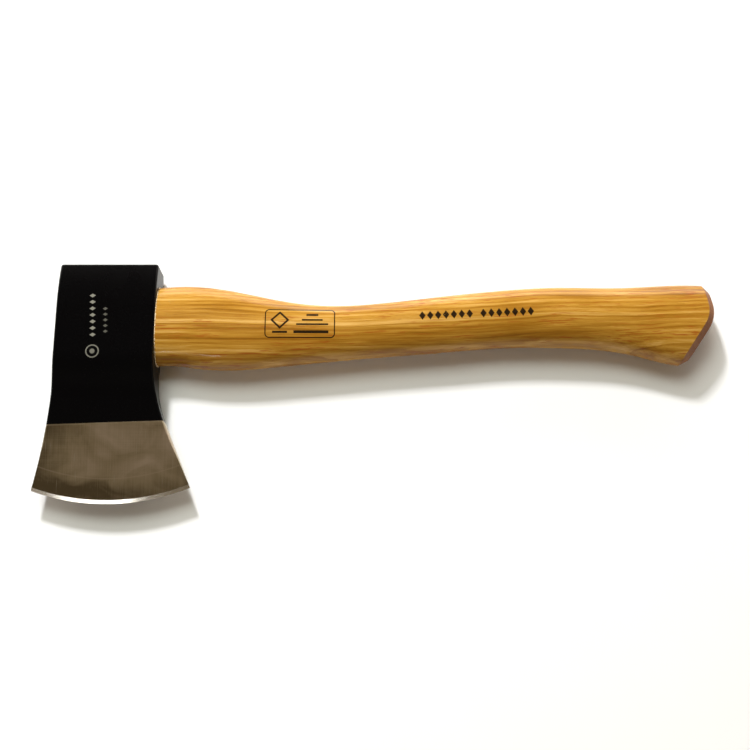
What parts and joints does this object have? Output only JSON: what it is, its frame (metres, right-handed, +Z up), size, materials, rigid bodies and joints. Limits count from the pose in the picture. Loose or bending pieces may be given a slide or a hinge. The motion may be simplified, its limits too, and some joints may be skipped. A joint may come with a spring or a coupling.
{
  "type": "hatchet",
  "caption": "Wooden-handled hatchet: forged steel head with painted cheeks and a bare curved bit, wedged on a curved handle that ends in a slanted knob.",
  "frame": {"origin": "on the surface that the hatchet lies on, under the middle of its box", "axes": "lying on its side: +X along the handle from the head to the knob, +Y from the cutting edge to the poll, +Z up, across the head's thickness"},
  "size_m": [0.3642, 0.1308, 0.025],
  "materials": {
    "head_finish": "satin",
    "handle_wood": "gloss",
    "wedge_wood": "satin",
    "wedge_steel": "satin"
  },
  "bodies": {
    "root": {"head": "head_finish", "handle": "handle_wood", "kerf_wedge": "wedge_wood", "step_wedge_poll_side": "wedge_steel", "step_wedge_edge_side": "wedge_steel"}
  },
  "joints": []
}
